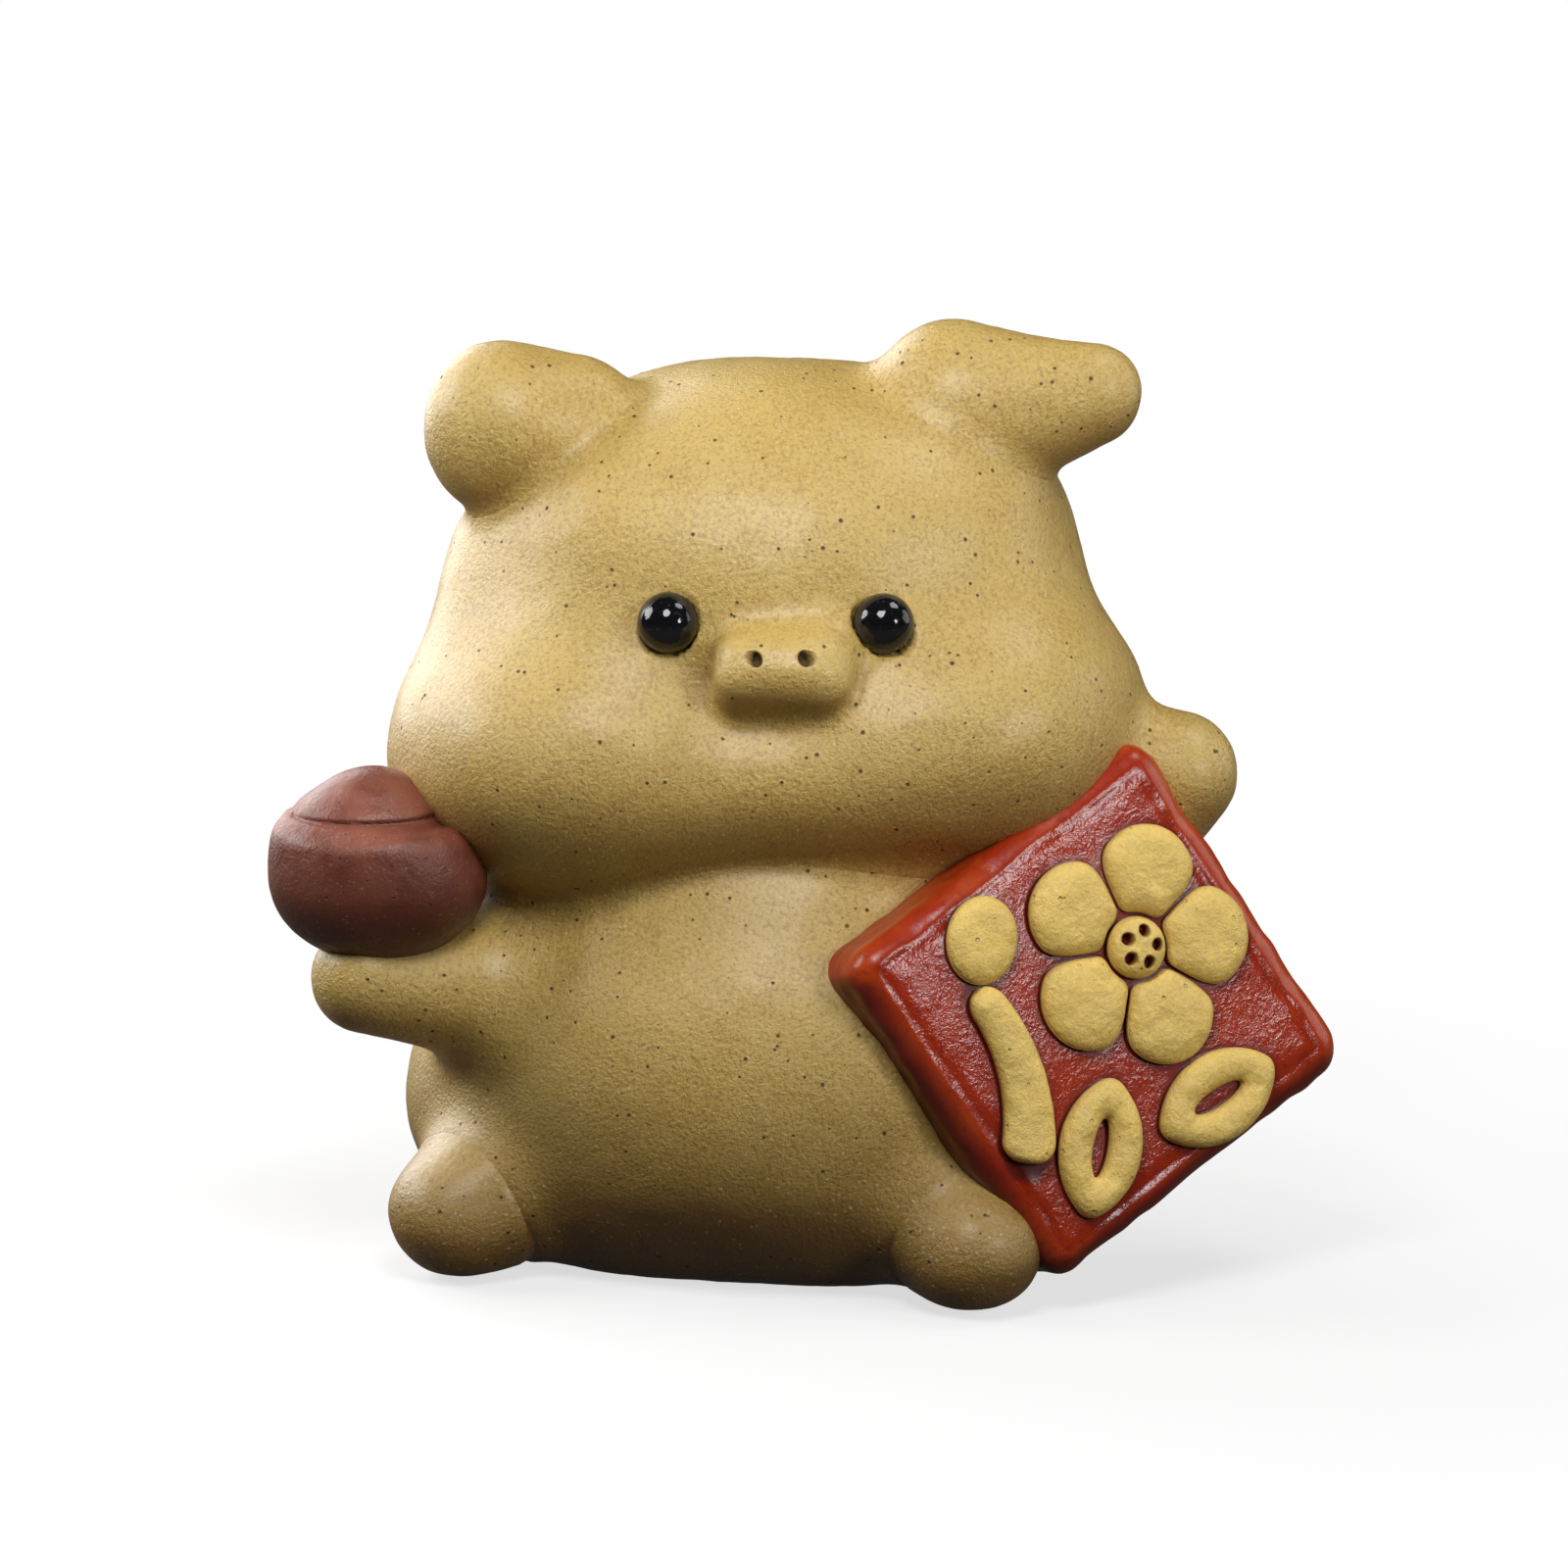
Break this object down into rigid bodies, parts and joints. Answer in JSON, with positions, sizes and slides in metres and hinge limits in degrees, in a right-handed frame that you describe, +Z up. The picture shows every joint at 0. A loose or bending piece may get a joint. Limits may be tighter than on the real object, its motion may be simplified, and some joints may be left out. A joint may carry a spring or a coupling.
{
  "type": "clay pig figurine",
  "caption": "Small sitting pig of hollow fired clay for a tea tray, carrying an ingot and a glazed slab with a raised blossom.",
  "frame": {"origin": "under the middle of the whole figurine, at the level of its base", "axes": "+Z up, the pig faces -Y, and +X is its left side, where the slab leans"},
  "size_m": [0.0772, 0.0528, 0.0705],
  "materials": {
    "yellow_clay": "unglazed sandy ochre clay with light and dark specks and a satin sheen",
    "red_clay": "unglazed satin red-brown clay",
    "red_glaze": "mottled orange-red glaze with a fine crinkle",
    "black_glaze": "glossy black glaze"
  },
  "bodies": {
    "root": {"torso_shell": "yellow_clay", "head_shell": "yellow_clay", "ear_right": "yellow_clay", "ear_left": "yellow_clay", "snout": "yellow_clay", "arm_right": "yellow_clay", "arm_left": "yellow_clay", "foot_right": "yellow_clay", "foot_left": "yellow_clay", "tail": "yellow_clay", "eye_right": "black_glaze", "eye_left": "black_glaze", "ingot_boat": "red_clay", "ingot_dome": "red_clay", "tile_slab": "red_glaze", "relief_petal_1": "yellow_clay", "relief_petal_2": "yellow_clay", "relief_petal_3": "yellow_clay", "relief_petal_4": "yellow_clay", "relief_petal_5": "yellow_clay", "relief_heart": "yellow_clay", "relief_twig": "yellow_clay", "relief_bud": "yellow_clay", "relief_leaf_upper": "yellow_clay", "relief_leaf_lower": "yellow_clay"}
  },
  "joints": []
}
